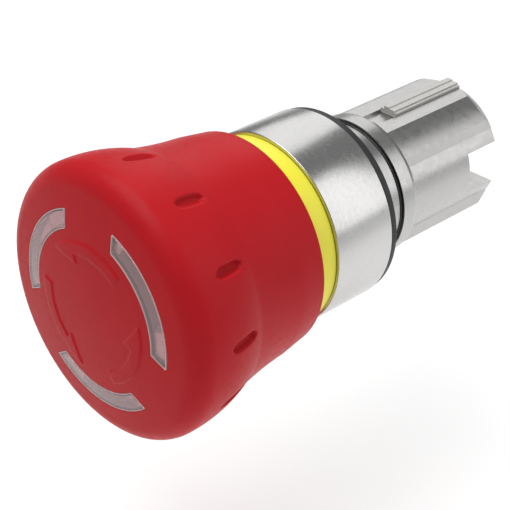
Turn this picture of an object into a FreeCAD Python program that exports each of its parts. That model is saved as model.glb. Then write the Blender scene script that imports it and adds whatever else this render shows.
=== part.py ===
"""Emergency stop button: a 22 mm mushroom head that locks when it is pressed and releases with a twist.

Frame (millimetres): the Y axis is the button's own axis. The panel's front face lies at Y = 0, the red cap is
in front of it towards -Y and the snout goes through the panel towards +Y. +Z is up, where the locating key
stands (12 o'clock), and +X is to the right for a person who faces the button. The rest state is released.
"""

import math
import os

import FreeCAD, Part
import Sketcher

Vector = FreeCAD.Vector

DIMENSIONS = {
    # Red cap, outside: stations from the front to the skirt's rim.
    "face_front": -44.25,
    "face_crown": 105.0,
    "face_edge_radius": 17.0,
    "face_edge_y": -42.87,
    "shoulder_curve": 3.4,
    "cap_radius": 20.1,
    "cap_widest_y": -39.5,
    "side_curve": 22.0,
    "waist_radius": 18.3,
    "waist_y": -30.2,
    "flare_curve": 60.0,
    "skirt_radius": 16.95,
    "skirt_y": -21.0,
    "rim_radius": 16.3,
    "rim_y": -16.3,
    "rim_round": 0.5,
    # Red cap, inside.
    "ceiling_y": -41.6,
    "ceiling_radius": 16.2,
    "shoulder_inner_curve": 3.2,
    "cavity_radius": 18.0,
    "cavity_y": -38.5,
    "cavity_waist_radius": 17.3,
    "cavity_waist_y": -33.4,
    "cavity_flare_radius": 15.6,
    "cavity_flare_y": -27.5,
    "skirt_bore": 14.6,
    "skirt_bore_y": -22.0,
    # Windows, arrows, grip scoops and screw bosses of the cap.
    "window_inner": 11.75,
    "window_outer": 14.5,
    "window_inner_half_angle": 36.5,
    "window_outer_half_angle": 41.0,
    "arrow_inner": 8.3,
    "arrow_outer": 10.15,
    "arrow_barb": 7.0,
    "arrow_front": -44.12,
    "arrow_tip_angle": -43.0,
    "arrow_barb_angle": -18.0,
    "arrow_tail_angle": 39.0,
    "scoop_front": -36.9,
    "scoop_front_radius": 20.03,
    "scoop_rear": -31.5,
    "scoop_rear_radius": 18.85,
    "scoop_depth": 1.0,
    "boss_radius": 1.9,
    "boss_circle": 8.2,
    "pilot_radius": 0.85,
    "pilot_depth": 0.9,
    # Clear lens ring and the bright ring behind it.
    "lens_bore": 11.0,
    "lens_radius": 15.9,
    "lens_gap": 0.2,
    "lens_front": -41.5,
    "lens_rear": -40.2,
    "lens_top": -43.1,
    "reflector_front": -40.15,
    "reflector_rear": -39.45,
    # Hub plate inside the cap, its screws and the twist spring.
    "hub_radius": 16.2,
    "hub_front": -39.4,
    "hub_rear": -37.4,
    "hub_tube_radius": 4.9,
    "hub_tube_rear": -29.7,
    "hub_bore": 3.45,
    "screw_head_radius": 1.6,
    "screw_head_length": 1.1,
    "screw_shank_radius": 0.8,
    "screw_tip_y": -42.4,
    "screw_slot_width": 0.5,
    "screw_slot_depth": 0.5,
    "twist_spring_radius": 5.75,
    "twist_spring_wire": 0.35,
    "twist_spring_front": -36.6,
    "twist_spring_rear": -30.3,
    "twist_spring_pitch": 1.25,
    # Plunger: shaft, thrust plate, latch sleeve, clip and foot.
    "shaft_front": -41.1,
    "shaft_radius": 3.4,
    "clip_groove_radius": 2.7,
    "clip_groove_front": -40.35,
    "clip_groove_rear": -39.65,
    "clip_radius": 5.6,
    "clip_bore": 2.75,
    "clip_front": -40.3,
    "clip_rear": -39.7,
    "clip_mouth": 4.2,
    "thrust_radius": 9.0,
    "thrust_front": -29.6,
    "thrust_rear": -28.6,
    "sleeve_bore": 3.42,
    "sleeve_front": -28.55,
    "sleeve_radius": 4.2,
    "cone_front": -12.7,
    "cone_rear": -6.7,
    "cone_radius": 5.4,
    "stop_flange_front": -3.6,
    "stop_flange_rear": -2.1,
    "stop_flange_radius": 7.2,
    "tail_radius": 4.5,
    "tail_rear": 17.2,
    "tail_bore": 1.3,
    "tail_bore_front": 11.2,
    "foot_radius": 3.1,
    "foot_front": 17.25,
    "foot_rear": 20.3,
    "foot_bevel": 0.4,
    "foot_bore": 1.4,
    "foot_screw_radius": 1.2,
    "foot_screw_head": 2.3,
    "foot_screw_front": 12.0,
    "foot_screw_rear": 21.35,
    # Housing: snout casting.
    "barrel_front": -20.0,
    "barrel_radius": 11.6,
    "barrel_rear": -1.3,
    "barrel_bore": 8.7,
    "barrel_bore_rear": -1.5,
    "neck_radius": 10.6,
    "neck_groove_radius": 10.34,
    "neck_groove_front": 4.97,
    "collar_front": 5.45,
    "collar_rear": 7.6,
    "collar_radius": 11.1,
    "snout_radius": 10.9,
    "tube_radius": 9.8,
    "tube_bore": 8.6,
    "tube_rear": 28.1,
    "circlip_groove_radius": 9.15,
    "circlip_groove_front": 16.0,
    "circlip_groove_rear": 16.9,
    "sector_root": 9.3,
    "top_flat_z": 9.97,
    "side_wall_x": 8.2,
    "nose_radius": 9.9,
    "nose_front": 26.5,
    "notch_half_height": 3.45,
    "notch_front": 21.7,
    "key_slot_width": 3.3,
    "key_slot_floor": 9.5,
    "key_slot_front": 7.9,
    "latch_y": -7.5,
    "latch_hole_radius": 1.27,
    # Locating key.
    "key_width": 3.2,
    "key_front": 13.4,
    "key_rear": 28.0,
    "key_floor": 9.55,
    "key_base_top": 10.35,
    "key_rib_left": 0.9,
    "key_rib_width": 1.0,
    "key_rib_top": 10.85,
    "key_lip_width": 1.1,
    "key_lip_top": 10.65,
    # Housing: bezel, yellow collar, seals and bush.
    "bezel_radius": 14.75,
    "bezel_bevel": 0.2,
    "bezel_front": -12.04,
    "bezel_rear": -1.27,
    "bezel_bore": 12.4,
    "bezel_floor": -3.2,
    "bezel_floor_bore": 11.65,
    "yellow_radius": 14.26,
    "yellow_front": -22.6,
    "yellow_bevel": 0.4,
    "yellow_rear": -12.1,
    "yellow_spigot_radius": 12.3,
    "yellow_spigot_rear": -9.3,
    "yellow_bore": 11.7,
    "yellow_lip_rear": -21.35,
    "yellow_lip_bore": 9.3,
    "gasket_radius": 14.58,
    "gasket_bore": 10.65,
    "gasket_round": 0.25,
    "neck_ring_radius": 10.57,
    "neck_ring_y": 5.2,
    "neck_ring_wire": 0.2,
    "bezel_ring_radius": 12.0,
    "bezel_ring_y": -4.9,
    "bezel_ring_wire": 0.38,
    "bush_front": -21.3,
    "bush_flange_radius": 10.2,
    "bush_flange_rear": -20.05,
    "bush_radius": 8.6,
    "bush_rear": -3.7,
    "bush_recess_radius": 7.05,
    "bush_recess_rear": -19.7,
    "bush_land_bore": 4.25,
    "bush_land_rear": -15.5,
    "bush_bore": 5.6,
    "wiper_radius": 7.0,
    "wiper_bore": 4.3,
    "wiper_front": -21.25,
    "wiper_rear": -19.75,
    "seat_radius": 8.5,
    "seat_bore": 4.55,
    "seat_front": 14.0,
    "seat_rear": 15.95,
    "circlip_radius": 9.1,
    "circlip_bore": 7.3,
    "circlip_front": 16.05,
    "circlip_rear": 16.85,
    "circlip_mouth": 5.0,
    "return_spring_radius": 5.9,
    "return_spring_wire": 0.5,
    "return_spring_front": -1.5,
    "return_spring_rear": 13.4,
    "return_spring_pitch": 2.5,
    # Latch pins and their springs.
    "pin_radius": 1.2,
    "pin_tip": 5.55,
    "pin_tail": 8.6,
    "pin_nose": 0.35,
    "pin_spring_radius": 0.85,
    "pin_spring_wire": 0.16,
    "pin_spring_inner": 8.85,
    "pin_spring_outer": 12.15,
    "pin_spring_pitch": 0.62,
}

WINDOW_COUNT = 3
SCOOP_COUNT = 12
FULL_TURN = 360.0
# How far a cut runs past what it cuts, how deep a joined feature reaches into its neighbour, and the gap
# between two pieces that are screwed or pushed against each other.
OVERRUN = 1.0
BITE = 0.5
SEAT_GAP = 0.05


class Size:
    """A number of the sheet, or a sum of such numbers, that carries its own expression."""

    def __init__(self, expression, value):
        self.expression = expression
        self.value = value

    def join(self, sign, other, value):
        return Size(f"({self.expression} {sign} {text_of(other)})", value)

    def __add__(self, other):
        return self.join("+", other, self.value + value_of(other))

    def __sub__(self, other):
        return self.join("-", other, self.value - value_of(other))

    def __mul__(self, other):
        return self.join("*", other, self.value * value_of(other))

    def __truediv__(self, other):
        return self.join("/", other, self.value / value_of(other))

    def __neg__(self):
        return Size(f"(0 - {self.expression})", -self.value)


def value_of(size):
    return size.value if isinstance(size, Size) else float(size)


def text_of(size):
    return size.expression if isinstance(size, Size) else repr(float(size))


def sine(angle):
    return Size(f"sin({angle.expression} * 1 deg)", math.sin(math.radians(angle.value)))


def cosine(angle):
    return Size(f"cos({angle.expression} * 1 deg)", math.cos(math.radians(angle.value)))


def root(size):
    return Size(f"sqrt({size.expression})", math.sqrt(size.value))


def chord_height(radius, offset):
    """How far a circle of this radius reaches at an offset from its centre line."""
    return root(radius * radius - offset * offset)


def fill_sheet(sheet):
    for row, (name, number) in enumerate(DIMENSIONS.items(), start=1):
        sheet.set(f"A{row}", name)
        sheet.set(f"B{row}", str(number))
        sheet.setAlias(f"B{row}", name)


document = FreeCAD.newDocument("EmergencyStopButton")
sheet = document.addObject("Spreadsheet::Sheet", "Dimensions")
fill_sheet(sheet)
document.recompute()


def dim(name):
    return Size(f"Dimensions.{name}", float(sheet.get(name)))


ZERO = Size("0", 0.0)


# Sketches and features of the PartDesign bodies.

def new_body(label):
    body = document.addObject("PartDesign::Body", label)
    body.Label = label
    body.AllowCompound = True
    return body


def origin_feature(body, role):
    return next(feature for feature in body.Origin.OriginFeatures if feature.Role == role)


def new_sketch(body, role, offset=None):
    """A sketch on one of the body's origin planes, moved along the plane's normal by an offset."""
    sketch = body.newObject("Sketcher::SketchObject", "Outline")
    sketch.AttachmentSupport = [(origin_feature(body, role), "")]
    sketch.MapMode = "FlatFace"
    if offset is not None:
        sketch.setExpression("AttachmentOffset.Base.z", offset.expression)
    return sketch


def tie(sketch, kind, geometry, point, size):
    """Hold one coordinate of a sketch point at a size."""
    if size is ZERO:
        axis = -2 if kind == "DistanceX" else -1
        sketch.addConstraint(Sketcher.Constraint("PointOnObject", geometry, point, axis))
        return
    index = sketch.addConstraint(Sketcher.Constraint(kind, -1, 1, geometry, point, size.value))
    sketch.setExpression(f"Constraints[{index}]", size.expression)


def arc_middle(start, end, curve):
    """Middle of the arc from start to end; a positive curve bows to the left of the way there."""
    way = end - start
    left = Vector(-way.y, way.x, 0)
    left.normalize()
    half = way.Length / 2
    bow = abs(curve) - math.sqrt(curve * curve - half * half)
    return (start + end) / 2 + left * math.copysign(bow, curve)


def draw(sketch, outline):
    """Draw a closed outline. A corner is (x, y), or (x, y, radius, side) where an arc leaves it. The arc bows
    to the left of the way to the next corner where side is +1, and to the right where it is -1."""
    corners = [Vector(corner[0].value, corner[1].value, 0) for corner in outline]
    ends = []
    for index, corner in enumerate(outline):
        start = corners[index]
        end = corners[(index + 1) % len(corners)]
        if len(corner) == 2:
            ends.append((sketch.addGeometry(Part.LineSegment(start, end)), 1, 2))
            continue
        middle = arc_middle(start, end, corner[2].value * corner[3])
        arc = sketch.addGeometry(Part.Arc(start, middle, end))
        first_is_start = (sketch.getPoint(arc, 1) - start).Length < (sketch.getPoint(arc, 2) - start).Length
        ends.append((arc, 1, 2) if first_is_start else (arc, 2, 1))
    for index, (geometry, _, end_point) in enumerate(ends):
        following, following_start, _ = ends[(index + 1) % len(ends)]
        sketch.addConstraint(
            Sketcher.Constraint("Coincident", geometry, end_point, following, following_start)
        )
    for (geometry, start_point, _), corner in zip(ends, outline):
        tie(sketch, "DistanceX", geometry, start_point, corner[0])
        tie(sketch, "DistanceY", geometry, start_point, corner[1])
        if len(corner) > 2:
            index = sketch.addConstraint(Sketcher.Constraint("Radius", geometry, corner[2].value))
            sketch.setExpression(f"Constraints[{index}]", corner[2].expression)
    return sketch


def draw_circle(sketch, x, y, radius):
    circle = sketch.addGeometry(Part.Circle(Vector(x.value, y.value, 0), Vector(0, 0, 1), radius.value))
    tie(sketch, "DistanceX", circle, 3, x)
    tie(sketch, "DistanceY", circle, 3, y)
    index = sketch.addConstraint(Sketcher.Constraint("Radius", circle, radius.value))
    sketch.setExpression(f"Constraints[{index}]", radius.expression)
    return sketch


def turned(label, outline):
    """A body turned about the Y axis from an outline of (radius, y) corners."""
    body = new_body(label)
    turn = body.newObject("PartDesign::Revolution", "Turning")
    turn.Profile = draw(new_sketch(body, "XY_Plane"), outline)
    turn.ReferenceAxis = (turn.Profile[0], ["V_Axis"])
    turn.Angle = FULL_TURN
    body.Tip = turn
    return body


def washer(label, radius, bore, front, rear):
    return turned(label, [(bore, front), (radius, front), (radius, rear), (bore, rear)])


def wire_ring(label, radius, y, wire):
    """A ring of round section, such as an O-ring."""
    body = new_body(label)
    turn = body.newObject("PartDesign::Revolution", "Turning")
    turn.Profile = draw_circle(new_sketch(body, "XY_Plane"), radius, y, wire)
    turn.ReferenceAxis = (turn.Profile[0], ["V_Axis"])
    turn.Angle = FULL_TURN
    body.Tip = turn
    return body


def add_prism(body, outline, front, rear):
    """Pad an outline of (x, z) corners between two Y stations."""
    pad = body.newObject("PartDesign::Pad", "Prism")
    pad.Profile = draw(new_sketch(body, "XZ_Plane", -rear), outline)
    pad.setExpression("Length", (rear - front).expression)
    body.Tip = pad
    return pad


def add_rod(body, x, z, radius, front, rear):
    pad = body.newObject("PartDesign::Pad", "Rod")
    pad.Profile = draw_circle(new_sketch(body, "XZ_Plane", -rear), x, z, radius)
    pad.setExpression("Length", (rear - front).expression)
    body.Tip = pad
    return pad


def cut_prism(body, outline, front, rear):
    """Pocket an outline of (x, z) corners between two Y stations."""
    pocket = body.newObject("PartDesign::Pocket", "Opening")
    pocket.Profile = draw(new_sketch(body, "XZ_Plane", -front), outline)
    pocket.setExpression("Length", (rear - front).expression)
    body.Tip = pocket
    return pocket


def cut_rod(body, x, z, radius, front, rear):
    pocket = body.newObject("PartDesign::Pocket", "Bore")
    pocket.Profile = draw_circle(new_sketch(body, "XZ_Plane", -front), x, z, radius)
    pocket.setExpression("Length", (rear - front).expression)
    body.Tip = pocket
    return pocket


def cut_crosswise(body, y, radius, reach):
    """A hole along X through both sides, out to a reach each way."""
    pocket = body.newObject("PartDesign::Pocket", "CrossHole")
    pocket.Profile = draw_circle(new_sketch(body, "YZ_Plane"), y, ZERO, radius)
    pocket.Midplane = True
    pocket.setExpression("Length", (reach * 2).expression)
    body.Tip = pocket
    return pocket


def repeat_round(body, feature, count):
    """Repeat a feature evenly round the Y axis."""
    pattern = body.newObject("PartDesign::PolarPattern", "Round")
    pattern.Originals = [feature]
    pattern.Axis = (origin_feature(body, "Y_Axis"), [""])
    pattern.Angle = FULL_TURN
    pattern.Occurrences = count
    body.Tip = pattern
    return pattern


def coil(label, plane, axis, radius, wire, start, end, pitch, side=1):
    """A coil spring: a wire wound about an axis of a plane between two stations on that axis."""
    body = new_body(label)
    sketch = new_sketch(body, plane)
    if axis == "V_Axis":
        draw_circle(sketch, radius, start, wire)
    else:
        draw_circle(sketch, start, radius, wire)
    winding = body.newObject("PartDesign::AdditiveHelix", "Winding")
    winding.Profile = sketch
    winding.ReferenceAxis = (sketch, [axis])
    winding.Mode = "pitch-height-angle"
    winding.setExpression("Pitch", pitch.expression)
    winding.setExpression("Height", (end - start).expression if side > 0 else (start - end).expression)
    winding.Reversed = side < 0
    body.Tip = winding
    return body


# Red cap and what turns with it.

def sector(inner, outer, inner_half, outer_half, gap=ZERO):
    """Outline, centred on -Z, of a slice of a ring, kept a gap inside its nominal edges."""
    low = inner + gap
    high = outer - gap
    return [
        (-(low * sine(inner_half) - gap), -(low * cosine(inner_half)), low, -1),
        (low * sine(inner_half) - gap, -(low * cosine(inner_half))),
        (high * sine(outer_half) - gap, -(high * cosine(outer_half)), high, 1),
        (-(high * sine(outer_half) - gap), -(high * cosine(outer_half))),
    ]


def arrow_outline():
    """A curved arrow about +Z whose head points counter-clockwise and is barbed on its inner side only."""
    inner = dim("arrow_inner")
    outer = dim("arrow_outer")
    barb = dim("arrow_barb")
    tip = dim("arrow_tip_angle")
    neck = dim("arrow_barb_angle")
    tail = dim("arrow_tail_angle")
    return [
        (outer * sine(tip), outer * cosine(tip), outer, 1),
        (outer * sine(tail), outer * cosine(tail)),
        (inner * sine(tail), inner * cosine(tail), inner, -1),
        (inner * sine(neck), inner * cosine(neck)),
        (barb * sine(neck), barb * cosine(neck)),
    ]


def cap_shell():
    rim_round = dim("rim_round")
    body = turned("cap_shell", [
        (ZERO, dim("face_front"), dim("face_crown"), -1),
        (dim("face_edge_radius"), dim("face_edge_y"), dim("shoulder_curve"), -1),
        (dim("cap_radius"), dim("cap_widest_y"), dim("side_curve"), -1),
        (dim("waist_radius"), dim("waist_y"), dim("flare_curve"), 1),
        (dim("skirt_radius"), dim("skirt_y")),
        (dim("rim_radius"), dim("rim_y") - rim_round, rim_round, -1),
        (dim("rim_radius") - rim_round, dim("rim_y")),
        (dim("skirt_bore") + rim_round, dim("rim_y")),
        (dim("skirt_bore"), dim("rim_y") - rim_round),
        (dim("skirt_bore"), dim("skirt_bore_y")),
        (dim("cavity_flare_radius"), dim("cavity_flare_y")),
        (dim("cavity_waist_radius"), dim("cavity_waist_y")),
        (dim("cavity_radius"), dim("cavity_y"), dim("shoulder_inner_curve"), 1),
        (dim("ceiling_radius"), dim("ceiling_y")),
        (ZERO, dim("ceiling_y")),
    ])
    opening = cut_prism(
        body,
        sector(
            dim("window_inner"),
            dim("window_outer"),
            dim("window_inner_half_angle"),
            dim("window_outer_half_angle"),
        ),
        dim("face_front") - OVERRUN,
        dim("ceiling_y") + OVERRUN,
    )
    repeat_round(body, opening, WINDOW_COUNT)
    scoop = body.newObject("PartDesign::Groove", "Scoop")
    scoop.Profile = draw(new_sketch(body, "YZ_Plane"), scoop_outline())
    scoop.ReferenceAxis = (scoop.Profile[0], ["Edge2"])
    scoop.Angle = FULL_TURN
    repeat_round(body, scoop, SCOOP_COUNT)
    arrow = add_prism(body, arrow_outline(), dim("arrow_front"), dim("ceiling_y") - BITE)
    repeat_round(body, arrow, WINDOW_COUNT)
    boss = add_rod(
        body,
        ZERO,
        dim("boss_circle"),
        dim("boss_radius"),
        dim("ceiling_y") - BITE,
        dim("reflector_rear"),
    )
    repeat_round(body, boss, WINDOW_COUNT)
    pilot = cut_rod(
        body,
        ZERO,
        dim("boss_circle"),
        dim("pilot_radius"),
        dim("ceiling_y") - dim("pilot_depth"),
        dim("reflector_rear"),
    )
    repeat_round(body, pilot, WINDOW_COUNT)
    return body


def scoop_outline():
    """Half a spindle in the (y, z) plane: a shallow arc over the spindle's axis, which follows the side."""
    length = dim("scoop_rear") - dim("scoop_front")
    fall = dim("scoop_front_radius") - dim("scoop_rear_radius")
    depth = dim("scoop_depth")
    curve = ((length * length + fall * fall) / 4 + depth * depth) / (depth * 2)
    return [
        (dim("scoop_front"), dim("scoop_front_radius"), curve, -1),
        (dim("scoop_rear"), dim("scoop_rear_radius")),
    ]


def lens_ring():
    body = washer("lens_ring", dim("lens_radius"), dim("lens_bore"), dim("lens_front"), dim("lens_rear"))
    segment = add_prism(
        body,
        sector(
            dim("window_inner"),
            dim("window_outer"),
            dim("window_inner_half_angle"),
            dim("window_outer_half_angle"),
            dim("lens_gap"),
        ),
        dim("lens_top"),
        dim("lens_front"),
    )
    repeat_round(body, segment, WINDOW_COUNT)
    return body


def cap_hub():
    body = turned("cap_hub", [
        (dim("hub_bore"), dim("hub_front")),
        (dim("hub_radius"), dim("hub_front")),
        (dim("hub_radius"), dim("hub_rear")),
        (dim("hub_tube_radius"), dim("hub_rear")),
        (dim("hub_tube_radius"), dim("hub_tube_rear")),
        (dim("hub_bore"), dim("hub_tube_rear")),
    ])
    hole = cut_rod(
        body,
        ZERO,
        dim("boss_circle"),
        dim("pilot_radius"),
        dim("hub_front") - OVERRUN,
        dim("hub_rear") + OVERRUN,
    )
    repeat_round(body, hole, WINDOW_COUNT)
    return body


def hub_screws():
    """Three slotted screws that hold the hub to the cap's bosses."""
    body = new_body("hub_screws")
    head_front = dim("hub_rear") + SEAT_GAP
    head_rear = head_front + dim("screw_head_length")
    shank = add_rod(
        body, ZERO, dim("boss_circle"), dim("screw_shank_radius"), dim("screw_tip_y"), head_front
    )
    repeat_round(body, shank, WINDOW_COUNT)
    head = add_rod(body, ZERO, dim("boss_circle"), dim("screw_head_radius"), head_front, head_rear)
    repeat_round(body, head, WINDOW_COUNT)
    half_slot = dim("screw_slot_width") / 2
    near = dim("boss_circle") - dim("screw_head_radius") - OVERRUN
    far = dim("boss_circle") + dim("screw_head_radius") + OVERRUN
    slot = cut_prism(
        body,
        [(-half_slot, near), (half_slot, near), (half_slot, far), (-half_slot, far)],
        head_rear - dim("screw_slot_depth"),
        head_rear + OVERRUN,
    )
    repeat_round(body, slot, WINDOW_COUNT)
    return body


def build_cap():
    cap_shell()
    lens_ring()
    washer(
        "reflector_ring",
        dim("lens_radius"),
        dim("lens_bore"),
        dim("reflector_front"),
        dim("reflector_rear"),
    )
    cap_hub()
    hub_screws()
    coil(
        "twist_spring",
        "XY_Plane",
        "V_Axis",
        dim("twist_spring_radius"),
        dim("twist_spring_wire"),
        dim("twist_spring_front"),
        dim("twist_spring_rear"),
        dim("twist_spring_pitch"),
    )


# Plunger and what slides with it.

def plunger_shaft():
    turned("plunger_shaft", [
        (ZERO, dim("shaft_front")),
        (dim("shaft_radius"), dim("shaft_front")),
        (dim("shaft_radius"), dim("clip_groove_front")),
        (dim("clip_groove_radius"), dim("clip_groove_front")),
        (dim("clip_groove_radius"), dim("clip_groove_rear")),
        (dim("shaft_radius"), dim("clip_groove_rear")),
        (dim("shaft_radius"), dim("stop_flange_front")),
        (dim("stop_flange_radius"), dim("stop_flange_front")),
        (dim("stop_flange_radius"), dim("stop_flange_rear")),
        (dim("tail_radius"), dim("stop_flange_rear")),
        (dim("tail_radius"), dim("tail_rear")),
        (dim("tail_bore"), dim("tail_rear")),
        (dim("tail_bore"), dim("tail_bore_front")),
        (ZERO, dim("tail_bore_front")),
    ])


def latch_sleeve():
    turned("latch_sleeve", [
        (dim("sleeve_bore"), dim("sleeve_front")),
        (dim("sleeve_radius"), dim("sleeve_front")),
        (dim("sleeve_radius"), dim("cone_front")),
        (dim("cone_radius"), dim("cone_rear")),
        (dim("cone_radius"), dim("stop_flange_front") - SEAT_GAP),
        (dim("sleeve_bore"), dim("stop_flange_front") - SEAT_GAP),
    ])


def plunger_foot():
    bevel = dim("foot_bevel")
    turned("plunger_foot", [
        (dim("foot_bore"), dim("foot_front")),
        (dim("foot_radius"), dim("foot_front")),
        (dim("foot_radius"), dim("foot_rear") - bevel),
        (dim("foot_radius") - bevel, dim("foot_rear")),
        (dim("foot_bore"), dim("foot_rear")),
    ])


def foot_screw():
    head_front = dim("foot_rear") + SEAT_GAP
    body = turned("foot_screw", [
        (ZERO, dim("foot_screw_front")),
        (dim("foot_screw_radius"), dim("foot_screw_front")),
        (dim("foot_screw_radius"), head_front),
        (dim("foot_screw_head"), head_front),
        (dim("foot_screw_head"), dim("foot_screw_rear")),
        (ZERO, dim("foot_screw_rear")),
    ])
    half_slot = dim("screw_slot_width") / 2
    reach = dim("foot_screw_head") + OVERRUN
    cut_prism(
        body,
        [(-reach, -half_slot), (reach, -half_slot), (reach, half_slot), (-reach, half_slot)],
        dim("foot_screw_rear") - dim("screw_slot_depth"),
        dim("foot_screw_rear") + OVERRUN,
    )


def open_ring(label, radius, bore, front, rear, mouth):
    """A flat snap ring with a mouth at the bottom, towards -Z."""
    body = washer(label, radius, bore, front, rear)
    half = mouth / 2
    below = -(radius + OVERRUN)
    cut_prism(
        body,
        [(-half, below), (half, below), (half, ZERO), (-half, ZERO)],
        front - OVERRUN,
        rear + OVERRUN,
    )


def build_plunger():
    plunger_shaft()
    latch_sleeve()
    washer("thrust_plate", dim("thrust_radius"), dim("sleeve_bore"), dim("thrust_front"), dim("thrust_rear"))
    open_ring(
        "cap_clip",
        dim("clip_radius"),
        dim("clip_bore"),
        dim("clip_front"),
        dim("clip_rear"),
        dim("clip_mouth"),
    )
    plunger_foot()
    foot_screw()


# Housing: everything that stays fixed to the panel.

def upper_sector():
    """Outer part of the snout above its side recesses: round, with upright sides and a flat on top."""
    outer = dim("snout_radius")
    inner = dim("sector_root")
    side = dim("side_wall_x")
    flat = dim("top_flat_z")
    shoulder_z = chord_height(outer, side)
    flat_x = chord_height(outer, flat)
    root_z = chord_height(inner, side)
    return [
        (-side, shoulder_z, outer, 1),
        (-flat_x, flat),
        (flat_x, flat, outer, 1),
        (side, shoulder_z),
        (side, root_z, inner, -1),
        (-side, root_z),
    ]


def lower_sector():
    """Outer part of the snout below its side recesses: a round belly between upright sides."""
    outer = dim("snout_radius")
    inner = dim("sector_root")
    side = dim("side_wall_x")
    belly_z = -chord_height(outer, side)
    root_z = -chord_height(inner, side)
    return [
        (side, root_z),
        (side, belly_z, outer, 1),
        (-side, belly_z),
        (-side, root_z, inner, -1),
    ]


def nose_bevel():
    """What the lead-in bevel takes off the snout's rear end, as (radius, y) corners."""
    reach = dim("snout_radius") + OVERRUN
    past = dim("tube_rear") + OVERRUN
    return [
        (dim("nose_radius"), dim("tube_rear")),
        (dim("snout_radius"), dim("nose_front")),
        (reach, dim("nose_front")),
        (reach, past),
        (dim("nose_radius"), past),
    ]


def prong():
    """The solid lower part of the snout's rear end: a half-moon below the side notches."""
    inner = dim("sector_root")
    top = -dim("notch_half_height")
    half = chord_height(inner, dim("notch_half_height"))
    return [(half, top, inner, 1), (-half, top)]


def snout_body():
    shoulder = dim("collar_radius") - dim("tube_radius")
    body = turned("snout_body", [
        (dim("barrel_bore"), dim("barrel_front")),
        (dim("barrel_radius"), dim("barrel_front")),
        (dim("barrel_radius"), dim("barrel_rear")),
        (dim("neck_radius"), dim("barrel_rear")),
        (dim("neck_radius"), dim("neck_groove_front")),
        (dim("neck_groove_radius"), dim("neck_groove_front")),
        (dim("neck_groove_radius"), dim("collar_front")),
        (dim("collar_radius"), dim("collar_front")),
        (dim("collar_radius"), dim("collar_rear"), shoulder, -1),
        (dim("tube_radius"), dim("collar_rear") + shoulder),
        (dim("tube_radius"), dim("tube_rear")),
        (dim("tube_bore"), dim("tube_rear")),
        (dim("tube_bore"), dim("circlip_groove_rear")),
        (dim("circlip_groove_radius"), dim("circlip_groove_rear")),
        (dim("circlip_groove_radius"), dim("circlip_groove_front")),
        (dim("tube_bore"), dim("circlip_groove_front")),
        (dim("tube_bore"), dim("barrel_bore_rear")),
        (dim("barrel_bore"), dim("barrel_bore_rear")),
    ])
    root_front = dim("collar_rear") - BITE
    add_prism(body, upper_sector(), root_front, dim("tube_rear"))
    add_prism(body, lower_sector(), root_front, dim("tube_rear"))
    bevel = body.newObject("PartDesign::Groove", "Bevel")
    bevel.Profile = draw(new_sketch(body, "XY_Plane"), nose_bevel())
    bevel.ReferenceAxis = (bevel.Profile[0], ["V_Axis"])
    bevel.Angle = FULL_TURN
    body.Tip = bevel
    reach = dim("snout_radius") + OVERRUN
    notch = dim("notch_half_height")
    cut_prism(
        body,
        [(-reach, -notch), (reach, -notch), (reach, notch), (-reach, notch)],
        dim("notch_front"),
        dim("tube_rear") + OVERRUN,
    )
    add_prism(body, prong(), dim("notch_front"), dim("tube_rear"))
    half_key = dim("key_slot_width") / 2
    floor = dim("key_slot_floor")
    cut_prism(
        body,
        [(-half_key, floor), (half_key, floor), (half_key, reach), (-half_key, reach)],
        dim("key_slot_front"),
        dim("tube_rear") + OVERRUN,
    )
    cut_crosswise(body, dim("latch_y"), dim("latch_hole_radius"), dim("barrel_radius") + OVERRUN)


def locating_key():
    body = new_body("locating_key")
    half = dim("key_width") / 2
    rib_left = -dim("key_rib_left")
    rib_right = rib_left + dim("key_rib_width")
    lip_right = rib_right + dim("key_lip_width")
    floor = dim("key_floor")
    add_prism(
        body,
        [(-half, floor), (half, floor), (half, dim("key_base_top")), (-half, dim("key_base_top"))],
        dim("key_front"),
        dim("key_rear"),
    )
    add_prism(
        body,
        [
            (rib_left, floor),
            (lip_right, floor),
            (lip_right, dim("key_lip_top")),
            (rib_right, dim("key_lip_top")),
            (rib_right, dim("key_rib_top")),
            (rib_left, dim("key_rib_top")),
        ],
        dim("key_front"),
        dim("key_rear"),
    )


def bezel_ring():
    bevel = dim("bezel_bevel")
    turned("bezel_ring", [
        (dim("bezel_bore"), dim("bezel_front")),
        (dim("bezel_radius") - bevel, dim("bezel_front")),
        (dim("bezel_radius"), dim("bezel_front") + bevel),
        (dim("bezel_radius"), dim("bezel_rear") - bevel),
        (dim("bezel_radius") - bevel, dim("bezel_rear")),
        (dim("bezel_floor_bore"), dim("bezel_rear")),
        (dim("bezel_floor_bore"), dim("bezel_floor")),
        (dim("bezel_bore"), dim("bezel_floor")),
    ])


def collar_ring():
    bevel = dim("yellow_bevel")
    turned("collar_ring", [
        (dim("yellow_lip_bore"), dim("yellow_front")),
        (dim("yellow_radius") - bevel, dim("yellow_front")),
        (dim("yellow_radius"), dim("yellow_front") + bevel),
        (dim("yellow_radius"), dim("yellow_rear")),
        (dim("yellow_spigot_radius"), dim("yellow_rear")),
        (dim("yellow_spigot_radius"), dim("yellow_spigot_rear")),
        (dim("yellow_bore"), dim("yellow_spigot_rear")),
        (dim("yellow_bore"), dim("yellow_lip_rear")),
        (dim("yellow_lip_bore"), dim("yellow_lip_rear")),
    ])


def panel_gasket():
    edge = dim("gasket_round")
    turned("panel_gasket", [
        (dim("gasket_bore"), dim("bezel_rear")),
        (dim("gasket_radius") - edge, dim("bezel_rear"), edge, -1),
        (dim("gasket_radius"), dim("bezel_rear") + edge),
        (dim("gasket_radius"), -edge, edge, -1),
        (dim("gasket_radius") - edge, ZERO),
        (dim("gasket_bore"), ZERO),
    ])


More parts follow.
